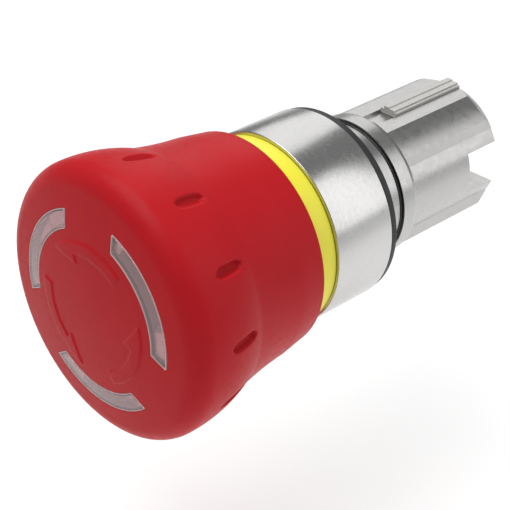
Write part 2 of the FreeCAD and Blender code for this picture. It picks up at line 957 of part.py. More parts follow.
def guide_bush():
    body = turned("guide_bush", [
        (dim("bush_recess_radius"), dim("bush_front")),
        (dim("bush_flange_radius"), dim("bush_front")),
        (dim("bush_flange_radius"), dim("bush_flange_rear")),
        (dim("bush_radius"), dim("bush_flange_rear")),
        (dim("bush_radius"), dim("bush_rear")),
        (dim("bush_bore"), dim("bush_rear")),
        (dim("bush_bore"), dim("bush_land_rear")),
        (dim("bush_land_bore"), dim("bush_land_rear")),
        (dim("bush_land_bore"), dim("bush_recess_rear")),
        (dim("bush_recess_radius"), dim("bush_recess_rear")),
    ])
    cut_crosswise(body, dim("latch_y"), dim("latch_hole_radius"), dim("bush_radius") + OVERRUN)


def build_housing():
    snout_body()
    locating_key()
    bezel_ring()
    collar_ring()
    panel_gasket()
    guide_bush()
    washer("shaft_wiper", dim("wiper_radius"), dim("wiper_bore"), dim("wiper_front"), dim("wiper_rear"))
    wire_ring("neck_o_ring", dim("neck_ring_radius"), dim("neck_ring_y"), dim("neck_ring_wire"))
    wire_ring("bezel_o_ring", dim("bezel_ring_radius"), dim("bezel_ring_y"), dim("bezel_ring_wire"))
    washer("spring_seat", dim("seat_radius"), dim("seat_bore"), dim("seat_front"), dim("seat_rear"))
    open_ring(
        "rear_circlip",
        dim("circlip_radius"),
        dim("circlip_bore"),
        dim("circlip_front"),
        dim("circlip_rear"),
        dim("circlip_mouth"),
    )
    coil(
        "return_spring",
        "XY_Plane",
        "V_Axis",
        dim("return_spring_radius"),
        dim("return_spring_wire"),
        dim("return_spring_front"),
        dim("return_spring_rear"),
        dim("return_spring_pitch"),
    )


# Latch: two pins that ride inwards on the sleeve's cone, one on each side.

def latch_pin(label, side):
    """A pin turned about a line parallel to X through the latch station."""
    body = new_body(label)
    nose = dim("pin_nose")
    tip = dim("pin_tip") * side
    tail = dim("pin_tail") * side
    inset = nose * side
    outline = [
        (tip, ZERO),
        (tip, dim("pin_radius") - nose),
        (tip + inset, dim("pin_radius")),
        (tail, dim("pin_radius")),
        (tail, ZERO),
    ]
    turn = body.newObject("PartDesign::Revolution", "Turning")
    turn.Profile = draw(new_sketch(body, "XZ_Plane"), outline)
    turn.ReferenceAxis = (turn.Profile[0], ["H_Axis"])
    turn.Angle = FULL_TURN
    body.Tip = turn
    body.setExpression("Placement.Base.y", dim("latch_y").expression)
    return body


def latch_spring(label, side):
    body = coil(
        label,
        "XZ_Plane",
        "H_Axis",
        dim("pin_spring_radius"),
        dim("pin_spring_wire"),
        dim("pin_spring_inner") * side,
        dim("pin_spring_outer") * side,
        dim("pin_spring_pitch"),
        side,
    )
    body.setExpression("Placement.Base.y", dim("latch_y").expression)
    return body


def build_latch():
    for name, side in (("left", -1), ("right", 1)):
        latch_pin(f"latch_pin_{name}", side)
        latch_spring(f"latch_spring_{name}", side)


def failures():
    """Names of the objects that did not come out whole."""
    broken = [item.Label for item in document.Objects if {"Invalid", "Error"} & set(item.State)]
    bodies = [item for item in document.Objects if item.TypeId == "PartDesign::Body"]
    broken += [body.Label for body in bodies if body.Shape.isNull() or not body.Shape.isValid()]
    return broken


def export():
    os.makedirs("parts", exist_ok=True)
    for item in document.Objects:
        if item.TypeId == "PartDesign::Body":
            item.Shape.exportStep(os.path.join("parts", f"{item.Label}.step"))


build_cap()
build_plunger()
build_housing()
build_latch()
document.recompute()
if failures():
    raise SystemExit(f"not whole: {failures()}")
export()
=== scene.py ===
"""Looks of the emergency stop button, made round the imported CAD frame.

Lengths are in millimetres and become metres when they turn into vertices. The button's axis is Y
and its cap faces -Y. Clock angles are in degrees and go from +Z, at 12 o'clock, towards +X.
"""
import math

import bmesh
import bpy
import numpy as np
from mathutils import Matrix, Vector
from mathutils.geometry import delaunay_2d_cdt


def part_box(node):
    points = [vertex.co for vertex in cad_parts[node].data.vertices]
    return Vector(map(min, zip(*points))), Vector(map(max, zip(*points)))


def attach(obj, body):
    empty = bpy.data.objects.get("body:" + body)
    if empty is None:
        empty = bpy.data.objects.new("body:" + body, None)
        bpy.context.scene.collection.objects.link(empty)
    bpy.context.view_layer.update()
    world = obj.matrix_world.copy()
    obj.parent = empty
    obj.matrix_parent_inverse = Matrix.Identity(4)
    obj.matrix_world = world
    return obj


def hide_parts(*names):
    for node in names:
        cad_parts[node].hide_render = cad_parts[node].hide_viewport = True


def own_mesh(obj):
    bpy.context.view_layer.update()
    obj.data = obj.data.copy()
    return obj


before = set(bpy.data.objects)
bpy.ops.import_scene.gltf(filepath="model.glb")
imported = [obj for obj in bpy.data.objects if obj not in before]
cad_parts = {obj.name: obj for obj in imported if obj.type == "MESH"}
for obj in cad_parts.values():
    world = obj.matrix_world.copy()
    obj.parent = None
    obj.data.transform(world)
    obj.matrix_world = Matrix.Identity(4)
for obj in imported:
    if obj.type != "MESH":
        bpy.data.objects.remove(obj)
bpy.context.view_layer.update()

MM = 0.001

# Camera, in the row frame.
CAMERA_PLACE = (139.57, -146.09, 113.61)
CAMERA_WAY = (-0.6204, 0.5866, -0.5206)
CAMERA_LENS = 110.1
CAMERA_SENSOR = 36.0
CAMERA_NEAR_M = 0.01

# Floor and studio light.
FLOOR_DROP = 26.0
FLOOR_SIZE = 6000.0
FLOOR_GREY = 0.45
# Painted light: the floor's emission is GLOW_LEVEL within GLOW_INNER of GLOW_MIDDLE and fades to
# GLOW_EDGE at GLOW_OUTER.
GLOW_MIDDLE = (-80.0, 80.0)
GLOW_INNER = 140.0
GLOW_OUTER = 320.0
GLOW_LEVEL = 0.66
GLOW_EDGE = 0.3
LIGHT_DISTANCE = 600.0
ROOM_LEVEL = 0.22
SOFTBOXES = (  # name, direction from the button, width, height, level
    ("Overhead", (-0.15, -0.22, 0.96), 620, 400, 4.2),
    ("Left rear", (-0.52, 0.587, 0.62), 300, 560, 1.05),
    ("Right rear", (0.687, 0.587, 0.429), 330, 560, 1.32),
)


# ---------------------------------------------------------------- outlines

def polar(radius, clock):
    """The (x, z) point at a clock angle."""
    angle = math.radians(clock)
    return (radius * math.sin(angle), radius * math.cos(angle))


def arc_points(start, end, radius, steps):
    """Points from start to end along an arc; a positive radius bows to the left of the way."""
    start = Vector(start)
    end = Vector(end)
    way = end - start
    left = Vector((-way.y, way.x)).normalized()
    middle = (start + end) / 2
    depth = math.sqrt(radius * radius - way.length_squared / 4)
    centre = middle - left * math.copysign(depth, radius)
    first = start - centre
    turn = first.angle_signed(end - centre)
    points = []
    for step in range(1, steps + 1):
        angle = -turn * step / steps
        spoke = Vector((
            first.x * math.cos(angle) - first.y * math.sin(angle),
            first.x * math.sin(angle) + first.y * math.cos(angle),
        ))
        points.append(tuple(centre + spoke))
    return points


def rounded(corners, radius, steps=4):
    """A closed outline with each corner turned into a small curve."""
    points = []
    for index, corner in enumerate(corners):
        here = Vector(corner)
        before = Vector(corners[index - 1]) - here
        after = Vector(corners[(index + 1) % len(corners)]) - here
        reach = min(radius, before.length * 0.45, after.length * 0.45)
        start = here + before.normalized() * reach
        end = here + after.normalized() * reach
        for step in range(steps + 1):
            share = step / steps
            points.append(tuple(
                start * (1 - share) ** 2 + here * 2 * share * (1 - share) + end * share ** 2
            ))
    return points


def spaced(corners, spacing):
    """A closed outline divided into steps of about the same length."""
    points = []
    for index, corner in enumerate(corners):
        start = Vector(corner)
        end = Vector(corners[(index + 1) % len(corners)])
        steps = max(1, round((end - start).length / spacing))
        points += [tuple(start.lerp(end, step / steps)) for step in range(steps)]
    return points


def eased(points, passes):
    """A closed outline whose corners are rounded by averaging each point with its neighbours."""
    ring = np.array(points)
    for _ in range(passes):
        ring = (np.roll(ring, 1, 0) + 2 * ring + np.roll(ring, -1, 0)) / 4
    return ring


def grown(ring, distance):
    """A closed outline moved outwards by a distance, or inwards where it is negative."""
    ring = np.asarray(ring)
    way = np.roll(ring, -1, 0) - np.roll(ring, 1, 0)
    way /= np.linalg.norm(way, axis=1)[:, None]
    outward = np.stack([way[:, 1], -way[:, 0]], 1)
    area = np.sum(ring[:, 0] * np.roll(ring[:, 1], -1) - np.roll(ring[:, 0], -1) * ring[:, 1])
    return ring + outward * math.copysign(distance, area * distance)


def distance_outside(ring, points):
    """Distance of each point from a closed outline, negative inside it."""
    ring = np.asarray(ring)
    points = np.asarray(points)
    start = ring[None]
    way = np.roll(ring, -1, 0)[None] - start
    reach = points[:, None] - start
    share = np.clip(np.sum(reach * way, 2) / np.maximum(np.sum(way * way, 2), 1e-12), 0, 1)
    nearest = np.linalg.norm(reach - share[..., None] * way, axis=2).min(1)
    above = start[..., 1] > points[:, None, 1]
    crosses = above != np.roll(above, -1, 1)
    rise = np.where(way[..., 1] == 0, 1e-12, way[..., 1])
    meets = points[:, None, 0] < start[..., 0] + reach[..., 1] * way[..., 0] / rise
    inside = np.sum(crosses & meets, 1) % 2 == 1
    return np.where(inside, -nearest, nearest)


def triangles(rings, loose, keep):
    """Triangles of rings, whose edges are kept, and loose points; keep says which stay."""
    points = []
    edges = []
    for ring in rings:
        first = len(points)
        points += [tuple(point) for point in ring]
        edges += [(first + step, first + (step + 1) % len(ring)) for step in range(len(ring))]
    points += [tuple(point) for point in loose]
    made = delaunay_2d_cdt([Vector(point) for point in points], edges, [], 0, 1e-5)
    flat = np.array([tuple(point) for point in made[0]])
    faces = [tuple(face) for face in made[2]]
    centres = np.array([flat[list(face)].mean(0) for face in faces])
    wanted = keep(centres)
    return flat, [face for face, stays in zip(faces, wanted) if stays]


# ---------------------------------------------------------------- pieces

def piece(name, body, material, mesh, stands_for=()):
    """A finished piece of the button, which rides on a CAD body."""
    obj = bpy.data.objects.new(name, mesh)
    bpy.context.scene.collection.objects.link(obj)
    mesh.materials.clear()
    mesh.materials.append(material)
    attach(obj, body)
    if stands_for:
        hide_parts(*stands_for)
    return obj


def solid(parts):
    """Several (vertices, faces) in millimetres, welded into one skin with its normals outwards."""
    work = bmesh.new()
    for vertices, faces in parts:
        made = [work.verts.new(Vector(vertex) * MM) for vertex in vertices]
        for face in faces:
            work.faces.new([made[index] for index in face])
    bmesh.ops.remove_doubles(work, verts=work.verts, dist=1e-7)
    bmesh.ops.recalc_face_normals(work, faces=work.faces)
    if work.calc_volume(signed=True) < 0:
        bmesh.ops.reverse_faces(work, faces=work.faces)
    return work


def mesh_of(name, solids, smooth_angle=40.0):
    """One mesh of several solids, each a list of (vertices, faces) in millimetres."""
    whole = bmesh.new()
    mesh = bpy.data.meshes.new(name)
    for parts in solids:
        work = solid(parts)
        work.to_mesh(mesh)
        work.free()
        whole.from_mesh(mesh)
    whole.to_mesh(mesh)
    whole.free()
    mesh.shade_smooth()
    mesh.set_sharp_from_angle(angle=math.radians(smooth_angle))
    return mesh


def turned(outline, segments=240):
    """Vertices and faces of a closed (radius, y) outline turned about the Y axis."""
    vertices = []
    for step in range(segments):
        angle = 2 * math.pi * step / segments
        vertices += [(r * math.sin(angle), y, r * math.cos(angle)) for r, y in outline]
    count = len(outline)
    faces = []
    for step in range(segments):
        here = step * count
        there = (step + 1) % segments * count
        for row in range(count):
            below = (row + 1) % count
            faces.append((here + row, here + below, there + below, there + row))
    return vertices, faces


def walls(upper, lower):
    """A strip of faces between two rings with the same number of points."""
    count = len(upper)
    faces = [
        (step, (step + 1) % count, count + (step + 1) % count, count + step)
        for step in range(count)
    ]
    return [*upper, *lower], faces


def softened(name, node, body, material, width, sharp=25.0):
    """A copy of a CAD node whose sharp edges are rounded off."""
    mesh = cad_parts[node].data.copy()
    mesh.name = name
    work = bmesh.new()
    work.from_mesh(mesh)
    bmesh.ops.remove_doubles(work, verts=work.verts, dist=1e-6)
    bmesh.ops.dissolve_limit(
        work, angle_limit=math.radians(0.3), verts=work.verts, edges=work.edges
    )
    edges = [
        edge for edge in work.edges
        if edge.is_manifold and edge.calc_face_angle(0.0) > math.radians(sharp)
    ]
    bmesh.ops.bevel(
        work,
        geom=edges,
        offset=width * MM,
        offset_type="OFFSET",
        segments=3,
        profile=0.5,
        affect="EDGES",
        clamp_overlap=True,
    )
    bmesh.ops.remove_doubles(work, verts=work.verts, dist=1e-7)
    work.to_mesh(mesh)
    work.free()
    mesh.shade_smooth()
    mesh.set_sharp_from_angle(angle=math.radians(sharp))
    obj = piece(name, body, material, mesh, [node])
    normals = obj.modifiers.new("Normals", "WEIGHTED_NORMAL")
    normals.keep_sharp = True


# ---------------------------------------------------------------- materials

class Nodes:
    """Short ways to add nodes to a material."""

    def __init__(self, tree):
        self.tree = tree

    def add(self, kind, inputs=None, **settings):
        """A node whose inputs are linked to sockets or set to values."""
        node = self.tree.nodes.new(kind)
        for key, value in settings.items():
            setattr(node, key, value)
        for key, value in (inputs or {}).items():
            if isinstance(value, bpy.types.NodeSocket):
                self.tree.links.new(value, node.inputs[key])
            else:
                node.inputs[key].default_value = value
        return node

    def noise(self, place, size, detail, stretch=(1, 1, 1)):
        """Noise from 0 to 1 whose spots are about a size in millimetres across."""
        mapped = self.add("ShaderNodeMapping", {"Vector": place, "Scale": stretch})
        noise = self.add(
            "ShaderNodeTexNoise",
            {"Vector": mapped.outputs[0], "Scale": 1 / (size * MM), "Detail": detail},
        )
        return noise.outputs[0]

    def between(self, factor, low, high):
        """A number from low to high as a noise goes from its low to its high values."""
        return self.add(
            "ShaderNodeMapRange",
            {"Value": factor, "From Min": 0.3, "From Max": 0.7, "To Min": low, "To Max": high},
        ).outputs[0]


CLOUD_SIZE = 6.0  # of the patches of lighter and darker colour


def material(name, colour, roughness, grain, relief, mottle=0.04, stretch=(1, 1, 1), **sockets):
    """A surface with mottled colour, uneven gloss and a fine grain; relief is the grain's depth."""
    made = bpy.data.materials.new(name)
    made.use_nodes = True
    nodes = Nodes(made.node_tree)
    shader = made.node_tree.nodes["Principled BSDF"]
    place = nodes.add("ShaderNodeTexCoord").outputs["Object"]
    cloud = nodes.noise(place, CLOUD_SIZE, 3.0)
    darker = [channel * (1 - mottle) for channel in colour]
    lighter = [min(1.0, channel * (1 + mottle)) for channel in colour]
    tint = nodes.add(
        "ShaderNodeMix",
        {0: nodes.between(cloud, 0.0, 1.0), 6: (*darker, 1), 7: (*lighter, 1)},
        data_type="RGBA",
    )
    fine = nodes.noise(place, grain, 3.0, stretch)
    bump = nodes.add("ShaderNodeBump", {"Height": fine, "Distance": relief * MM, "Strength": 1.0})
    patches = nodes.noise(place, grain * 4, 2.0, stretch)
    rough = nodes.between(patches, roughness * 0.85, roughness * 1.15)
    links = made.node_tree.links
    links.new(tint.outputs[2], shader.inputs["Base Color"])
    links.new(rough, shader.inputs["Roughness"])
    links.new(bump.outputs[0], shader.inputs["Normal"])
    for key, value in sockets.items():
        shader.inputs[key.replace("_", " ").title().replace("Ior", "IOR")].default_value = value
    return made


ROUND_LINES = (0.04, 1.0, 0.04)  # stretches a grain into lines round the axis

red_plastic = material(
    "Red plastic", (0.52, 0.014, 0.02), 0.4, 0.18, 0.001, 0.02, specular_ior_level=0.08
)
clear_plastic = material(
    "Clear plastic", (0.94, 0.68, 0.69), 0.08, 0.6, 0.0003, 0.01,
    transmission_weight=0.85, ior=1.49,
)
# Painted highlight: a pale colour for the thin band round each window, standing in for the light
# its edge catches.
rim_highlight_plastic = material("Rim plastic with painted highlight", (0.7, 0.52, 0.52), 0.3, 0.6, 0.0005, 0.02)
silver_paint = material(
    "Silvered plastic", (0.68, 0.52, 0.53), 0.3, 2.5, 0.0005, metallic=0.75
)
yellow_plastic = material("Yellow plastic", (0.96, 0.9, 0.055), 0.4, 0.2, 0.0012, 0.02)
satin_metal = material(
    "Satin turned metal", (0.6, 0.595, 0.59), 0.24, 0.15, 0.0001, 0.02, metallic=1.0
)
zinc = material("Zinc casting", (0.5, 0.495, 0.49), 0.3, 0.3, 0.0004, 0.02, metallic=1.0)
black_rubber = material("Black rubber", (0.022, 0.022, 0.023), 0.5, 0.2, 0.004, 0.1)
cream_plastic = material("Cream plastic", (0.52, 0.51, 0.49), 0.4, 0.3, 0.0015, 0.02)
white_plastic = material("White acetal", (0.78, 0.77, 0.73), 0.4, 0.3, 0.002, 0.03)
grey_plastic = material("Grey plastic", (0.16, 0.165, 0.175), 0.45, 0.25, 0.003, 0.05)
steel = material("Plated steel", (0.6, 0.6, 0.61), 0.26, 0.2, 0.0008, 0.04, metallic=1.0)
spring_wire = material("Spring wire", (0.5, 0.5, 0.51), 0.24, 0.2, 0.001, 0.05, metallic=1.0)
brass = material(
    "Brass", (0.78, 0.58, 0.26), 0.25, 0.12, 0.0008, 0.04, ROUND_LINES, metallic=1.0
)


# ---------------------------------------------------------------- cap

CAP_LOW, CAP_HIGH = (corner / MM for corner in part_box("cap_shell"))
RIM_Y = CAP_HIGH.y
FACE_Y = -44.25
FACE_CROWN = 105.0
FACE_EDGE = 17.0
FACE_SPACING = 0.42  # between the face's loose points
FACE_CLEAR = 0.26  # from those points to the windows' and arrows' outlines
FACE_MARGIN = 0.25  # from those points to the face's edge
SHOULDER_END = (20.1, -39.5)
SHOULDER_CURVE = 3.4
WAIST = (18.3, -30.2)
WAIST_CURVE = 22.0
SKIRT = (16.95, -21.0)
SKIRT_CURVE = 60.0
RIM_OUTER = 16.3
RIM_INNER = 14.6
RIM_ROUND = 0.5
RIM_FLAT = (15.45, 15.1)
INNER_WALL = ((14.6, -19.5), (14.6, -22.0), (15.6, -27.5), (17.3, -33.4), (18.0, -38.5))
INNER_SHOULDER = 4.0
CEILING_RADIUS = 16.2
CAP_SEGMENTS = 720
CAP_TURN = -1.4
WINDOWS = (60.0 + CAP_TURN, 180.0 + CAP_TURN, 300.0 + CAP_TURN)
WINDOW_INNER = 11.75
WINDOW_OUTER = 14.5
WINDOW_HALF = (36.5, 40.6)
WINDOW_LIP = 0.16
LIP_RINGS = (0.12, 0.3, 0.6, 1.0, 1.5)  # shares of the lip's width
WINDOW_DEPTH_Y = -41.6
ARROWS = (CAP_TURN, 120.0 + CAP_TURN, 240.0 + CAP_TURN)
ARROW_INNER = 8.3
ARROW_OUTER = 10.15
ARROW_BARB = 7.0
ARROW_TIP = -43.0
ARROW_NECK = -18.0
ARROW_TAIL = 39.0
ARROW_STEPS = 30
ARROW_SPACING = 0.14
ARROW_RISE = 0.16
ARROW_SLOPE = 0.13
SLOPE_RINGS = (-1.0, -0.5, 0.0, 0.5, 1.0)  # shares of the slope's width
SCOOPS = 12
SCOOP_FRONT = (20.03, -36.9)
SCOOP_REAR = (18.85, -31.5)
SCOOP_DEPTH = 0.8
SCOOP_FULLNESS = 5.0
SCOOP_EDGE = 0.1
SCOOP_RISE = 1.5  # of the floor beside a scoop, so that it leaves the cap's surface at once


def dome(points):
    """Y of the face at (x, z) points."""
    points = np.asarray(points)
    return FACE_Y + FACE_CROWN - np.sqrt(FACE_CROWN ** 2 - np.sum(points * points, -1))


def turned_by(points, clock):
    """(x, z) points turned clockwise about the axis."""
    angle = math.radians(clock)
    points = np.asarray(points)
    return np.stack([
        points[:, 0] * math.cos(angle) + points[:, 1] * math.sin(angle),
        points[:, 1] * math.cos(angle) - points[:, 0] * math.sin(angle),
    ], 1)


def slice_outline(inner, outer, inner_ends, outer_ends, spacing=0.16, passes=3):
    """A slice of a ring about 12 o'clock; ends are (first, last) clock angles on each radius."""
    steps = 48
    low = [
        polar(inner, inner_ends[0] + (inner_ends[1] - inner_ends[0]) * step / steps)
        for step in range(steps + 1)
    ]
    high = [
        polar(outer, outer_ends[1] + (outer_ends[0] - outer_ends[1]) * step / steps)
        for step in range(steps + 1)
    ]
    return eased(spaced(low + high, spacing), passes)


def window_outline(clock):
    """The outline of the window at a clock angle."""
    inner_half, outer_half = WINDOW_HALF
    outline = slice_outline(
        WINDOW_INNER, WINDOW_OUTER, (-inner_half, inner_half), (-outer_half, outer_half)
    )
    return turned_by(outline, clock)


def arrow_outline(clock):
    """The outline of the raised arrow at a clock angle."""
    shares = [step / ARROW_STEPS for step in range(ARROW_STEPS + 1)]
    to_tail = ARROW_TAIL - ARROW_TIP
    to_neck = ARROW_NECK - ARROW_TAIL
    upper = [polar(ARROW_OUTER, ARROW_TIP + to_tail * share) for share in shares]
    lower = [polar(ARROW_INNER, ARROW_TAIL + to_neck * share) for share in shares]
    corners = upper + lower + [polar(ARROW_BARB, ARROW_NECK)]
    return turned_by(eased(spaced(corners, ARROW_SPACING), 2), clock)


def filling(radius, spacing, outlines, clear):
    """Evenly spread (x, z) points inside a radius that keep clear of outlines."""
    rows = int(radius / spacing) + 1
    points = np.array([
        ((column + row % 2 / 2) * spacing, row * spacing * math.sqrt(0.75))
        for row in range(-rows - 2, rows + 3) for column in range(-rows - 2, rows + 3)
    ])
    points = points[np.linalg.norm(points, axis=1) < radius]
    for outline in outlines:
        points = points[np.abs(distance_outside(outline, points)) > clear]
    return points


def cap_face():
    """The face with its arrows and rounded window lips, the window walls and the ceiling inside."""
    windows = [window_outline(clock) for clock in WINDOWS]
    arrows = [arrow_outline(clock) for clock in ARROWS]
    rim = [polar(FACE_EDGE, 360 * step / CAP_SEGMENTS) for step in range(CAP_SEGMENTS)]
    loose = [filling(FACE_EDGE - FACE_MARGIN, FACE_SPACING, windows + arrows, FACE_CLEAR)]
    for outline in windows:
        loose += [grown(outline, WINDOW_LIP * share) for share in LIP_RINGS]
    for outline in arrows:
        loose += [grown(outline, ARROW_SLOPE * share) for share in SLOPE_RINGS]

    def outside_windows(points):
        return np.min([distance_outside(outline, points) for outline in windows], 0) > 0

    flat, faces = triangles([rim, *windows], np.concatenate(loose), outside_windows)
    height = dome(flat)
    for outline in windows:
        gap = np.clip(distance_outside(outline, flat), 0, WINDOW_LIP)
        height += WINDOW_LIP - np.sqrt(WINDOW_LIP ** 2 - (WINDOW_LIP - gap) ** 2)
    for outline in arrows:
        share = np.clip(0.5 - distance_outside(outline, flat) / (2 * ARROW_SLOPE), 0, 1)
        height -= ARROW_RISE * share * share * (3 - 2 * share)
    parts = [([(x, y, z) for (x, z), y in zip(flat, height)], faces)]
    for outline in windows:
        edge = [(x, y + WINDOW_LIP, z) for (x, z), y in zip(outline, dome(outline))]
        parts.append(walls(edge, [(x, WINDOW_DEPTH_Y, z) for x, z in outline]))
    rim = [polar(CEILING_RADIUS, 360 * step / CAP_SEGMENTS) for step in range(CAP_SEGMENTS)]
    loose = filling(CEILING_RADIUS - 1, 2.0, windows, 0.8)
    flat, faces = triangles([rim, *windows], loose, outside_windows)
    parts.append(([(x, WINDOW_DEPTH_Y, z) for x, z in flat], faces))
    return parts


def cap_section():
    """(radius, y) points from the face's edge over the shoulder to the rim and back up inside."""
    points = [(FACE_EDGE, float(dome([(FACE_EDGE, 0.0)])[0]))]
    points += arc_points(points[-1], SHOULDER_END, -SHOULDER_CURVE, 16)
    points += arc_points(points[-1], WAIST, -WAIST_CURVE, 44)
    points += arc_points(points[-1], SKIRT, SKIRT_CURVE, 14)
    straight = Vector(points[-1])
    for step in range(1, 5):
        points.append(tuple(straight.lerp(Vector((RIM_OUTER, RIM_Y - RIM_ROUND)), step / 4)))
    points += arc_points(points[-1], (RIM_OUTER - RIM_ROUND, RIM_Y), -RIM_ROUND, 6)
    points += [(radius, RIM_Y) for radius in RIM_FLAT]
    points += arc_points(points[-1], (RIM_INNER, RIM_Y - RIM_ROUND), -RIM_ROUND, 5)
    points += INNER_WALL
    points += arc_points(points[-1], (CEILING_RADIUS, WINDOW_DEPTH_Y), INNER_SHOULDER, 8)
    return points


def scooped(radius, y, clock):
    """The cap's radius where a grip scoop is pressed into it with a soft edge."""
    period = 360 / SCOOPS
    sideways = radius * math.radians(abs((clock - CAP_TURN + period / 2) % period - period / 2))
    share = (y - SCOOP_FRONT[1]) / (SCOOP_REAR[1] - SCOOP_FRONT[1])
    axis = SCOOP_FRONT[0] + (SCOOP_REAR[0] - SCOOP_FRONT[0]) * share
    reach = SCOOP_DEPTH * (1 - abs(2 * share - 1) ** SCOOP_FULLNESS)
    if sideways < reach:
        floor = axis - math.sqrt(reach * reach - sideways * sideways)
    else:
        floor = axis + (sideways - reach) * SCOOP_RISE
    depth = radius - floor
    return radius - (depth + math.sqrt(depth * depth + SCOOP_EDGE ** 2)) / 2


def cap_side():
    """The cap's section turned about the axis, with the grip scoops."""
    section = cap_section()
    vertices = []
    for step in range(CAP_SEGMENTS):
        clock = 360 * step / CAP_SEGMENTS
        for radius, y in section:
            outside = radius > SCOOP_REAR[0] - 1 and y < SCOOP_REAR[1] + 1
            x, z = polar(scooped(radius, y, clock) if outside else radius, clock)
            vertices.append((x, y, z))
    count = len(section)
    faces = []
    for step in range(CAP_SEGMENTS):
        here = step * count
        there = (step + 1) % CAP_SEGMENTS * count
        faces += [
            (here + row, here + row + 1, there + row + 1, there + row) for row in range(count - 1)
        ]
    return vertices, faces


def make_cap():
    """The red mushroom cap."""
    mesh = mesh_of("red_cap", [[*cap_face(), cap_side()]], 60.0)
    piece("red_cap", "cap", red_plastic, mesh, ["cap_shell"])


# ---------------------------------------------------------------- light guides and reflector

# The band round each guide, whose pale colour is a painted edge highlight.
RIM_GAP = 0.03
RIM_WIDTH = 0.12
RIM_HEIGHT = 0.5
LENS_GAP = RIM_GAP + RIM_WIDTH
LENS_SINK = 0.03
LENS_ROUND = 0.16
LENS_PLATE = 0.55
LENS_REAR = -40.2
LENS_WALL = 0.5  # from the window's outline to the hollow behind the guide
LENS_SPACING = 0.5
LENS_BAND_FRONT = -41.5
LENS_BANDS = ((11.0, 11.66), (15.0, 15.9))  # radii of the two rings that join the guides
PAN_EDGE = 0.75
PAN_DEPTH = 1.5
PAN_ENDS = (-31.0, 18.0)
PAN_GAP = 0.56
PAN_REAR = -40.1
PAN_RINGS = (0.15, 0.35, 0.6)
CARRIER_OUTLINE = ((11.0, -40.15), (15.9, -40.15), (15.9, -39.45), (11.0, -39.45))


def lid(outline, spacing, height, inner_rings=()):
    """A surface that fills a closed outline; height gives its y at (x, z) points."""
    loose = filling(WINDOW_OUTER + 1, spacing, [], 0)
    loose = loose[distance_outside(outline, loose) < -spacing * 0.6]
    if len(inner_rings):
        loose = np.concatenate([loose, *inner_rings])
    flat, faces = triangles([outline], loose, lambda points: distance_outside(outline, points) < 0)
    return [(x, y, z) for (x, z), y in zip(flat, height(flat))], faces


def make_light_guides():
    """Clear covers that lie flush in the windows, each with a rounded rim and a hollow behind."""
    solids = []
    for clock in WINDOWS:
        parts = []
        window = window_outline(clock)
        rings = [
            (grown(window, -LENS_GAP - LENS_ROUND * (1 - math.cos(math.radians(angle)))),
             LENS_SINK + LENS_ROUND * (1 - math.sin(math.radians(angle))))
            for angle in (0, 22.5, 45, 67.5, 90)
        ]
        levels = [[(x, y + sink, z) for (x, z), y in zip(ring, dome(ring))] for ring, sink in rings]
        for lower, upper in zip(levels, levels[1:]):
            parts.append(walls(upper, lower))
        parts.append(lid(rings[-1][0], LENS_SPACING, lambda points: dome(points) + LENS_SINK))
        hollow = grown(window, -LENS_WALL)
        rear_edge = [(x, LENS_REAR, z) for x, z in rings[0][0]]
        rear_hollow = [(x, LENS_REAR, z) for x, z in hollow]
        parts.append(walls(levels[0], rear_edge))
        under = [(x, y + LENS_PLATE, z) for (x, z), y in zip(hollow, dome(hollow))]
        parts.append(walls(under, rear_hollow))
        parts.append(lid(hollow, LENS_SPACING, lambda points: dome(points) + LENS_PLATE))
        parts.append(walls(rear_edge, rear_hollow))
        solids.append(parts)
    for inner, outer in LENS_BANDS:
        ring = [
            (inner, LENS_BAND_FRONT), (outer, LENS_BAND_FRONT),
            (outer, LENS_REAR), (inner, LENS_REAR),
        ]
        solids.append([turned(rounded(ring, 0.1))])
    mesh = mesh_of("light_guides", solids, 60.0)
    piece("light_guides", "cap", clear_plastic, mesh, ["lens_ring"])


def make_guide_rims():
    """The pale band round each light guide, flush with the face, whose light colour is a painted
    highlight along the window's edge.
    """
    solids = []
    for clock in WINDOWS:
        outer = grown(window_outline(clock), -RIM_GAP)
        inner = grown(outer, -RIM_WIDTH)
        front_outer = [(x, y, z) for (x, z), y in zip(outer, dome(outer))]
        front_inner = [(x, y, z) for (x, z), y in zip(inner, dome(inner))]
        rear_outer = [(x, y + RIM_HEIGHT, z) for x, y, z in front_outer]
        rear_inner = [(x, y + RIM_HEIGHT, z) for x, y, z in front_inner]
        solids.append([
            walls(front_outer, front_inner),
            walls(front_inner, rear_inner),
            walls(rear_inner, rear_outer),
            walls(rear_outer, front_outer),
        ])
    mesh = mesh_of("guide_rims", solids)
    piece("guide_rims", "cap", rim_highlight_plastic, mesh)


def pan_height(points, clock):
    """Y of the silver pan behind a window: a trough, with a shallow step at each of its ends."""
    local = turned_by(points, -clock)
    angle = np.degrees(np.arctan2(local[:, 0], local[:, 1]))
    radius = np.linalg.norm(points, axis=1)
    middle = (WINDOW_INNER + WINDOW_OUTER) / 2
    across = np.clip(np.abs(radius - middle) / (WINDOW_OUTER - middle), 0, 1)
    first, last = PAN_ENDS
    within = np.clip(np.minimum(angle - first, last - angle) / 3.0 + 0.5, 0, 1)
    within = within * within * (3 - 2 * within)
    trough = PAN_DEPTH * (1 - across ** 2) * within
    return dome(points) + PAN_EDGE + trough


